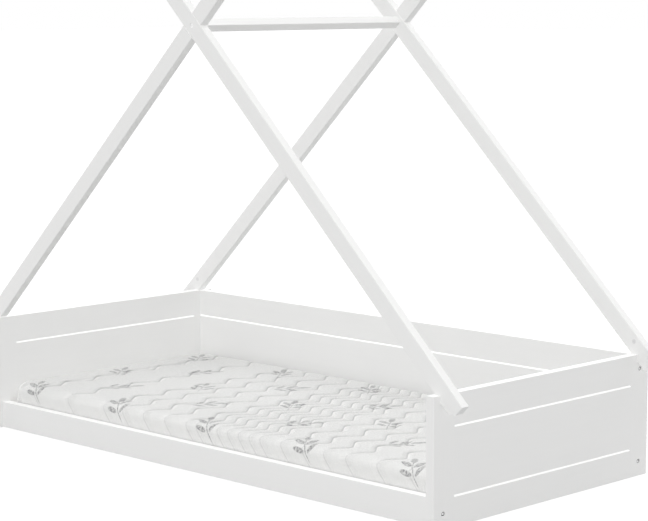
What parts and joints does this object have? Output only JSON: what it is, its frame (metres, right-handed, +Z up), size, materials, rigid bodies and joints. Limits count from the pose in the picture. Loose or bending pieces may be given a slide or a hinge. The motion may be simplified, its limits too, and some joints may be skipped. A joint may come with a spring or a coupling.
{
  "type": "teepee bed",
  "caption": "Low white child's bed with panelled ends and back, an open front, crossed tent poles with a ridge bar, slats and a quilted mattress.",
  "frame": {"origin": "on the floor, at the middle of the bed's length and width", "axes": "+X along the bed from headboard to footboard, +Y from the open front to the back panel, +Z up"},
  "size_m": [2.2278, 1.022, 1.6236],
  "materials": {
    "white_frame": "satin",
    "white_panel": "satin",
    "white_pole": "satin",
    "slat_wood": "matte",
    "dowel_wood": "matte",
    "webbing": "matte",
    "zinc_steel": "satin",
    "cam_metal": "satin",
    "foam": "matte",
    "quilted_cover": "matte",
    "zip_tape": "matte"
  },
  "bodies": {
    "bed_frame": {"headboard_front_stile": "white_frame", "headboard_back_stile": "white_frame", "headboard_top_rail": "white_frame", "headboard_bottom_rail": "white_frame", "headboard_infill_panel": "white_panel", "footboard_front_stile": "white_frame", "footboard_back_stile": "white_frame", "footboard_top_rail": "white_frame", "footboard_bottom_rail": "white_frame", "footboard_infill_panel": "white_panel", "back_top_rail": "white_frame", "back_bottom_rail": "white_frame", "back_infill_panel": "white_panel", "front_rail": "white_frame", "front_pole_head_end": "white_pole", "front_pole_foot_end": "white_pole", "back_pole_head_end": "white_pole", "back_pole_foot_end": "white_pole", "ridge_bar": "white_pole", "slat_01": "slat_wood", "slat_02": "slat_wood", "slat_03": "slat_wood", "slat_04": "slat_wood", "slat_05": "slat_wood", "slat_06": "slat_wood", "slat_07": "slat_wood", "slat_08": "slat_wood", "slat_09": "slat_wood", "slat_10": "slat_wood", "slat_11": "slat_wood", "slat_12": "slat_wood", "slat_13": "slat_wood", "slat_14": "slat_wood", "front_cleat": "slat_wood", "front_slat_tape": "webbing", "back_cleat": "slat_wood", "back_slat_tape": "webbing", "frame_bolts": "zinc_steel", "ridge_bolts": "zinc_steel", "barrel_nuts": "zinc_steel", "ridge_inserts": "zinc_steel", "pole_cam_bolts": "zinc_steel", "cleat_screws": "zinc_steel", "slat_screws": "zinc_steel", "pole_cams": "cam_metal", "frame_dowels": "dowel_wood"},
    "mattress": {"mattress_core": "foam", "mattress_cover_top": "quilted_cover", "mattress_cover_bottom": "quilted_cover", "mattress_zip": "zip_tape"}
  },
  "joints": [
    {"name": "mattress_lift", "type": "slide", "parent": "bed_frame", "child": "mattress", "axis": [0, 0, 1], "range_m": [0, 0.4]}
  ]
}
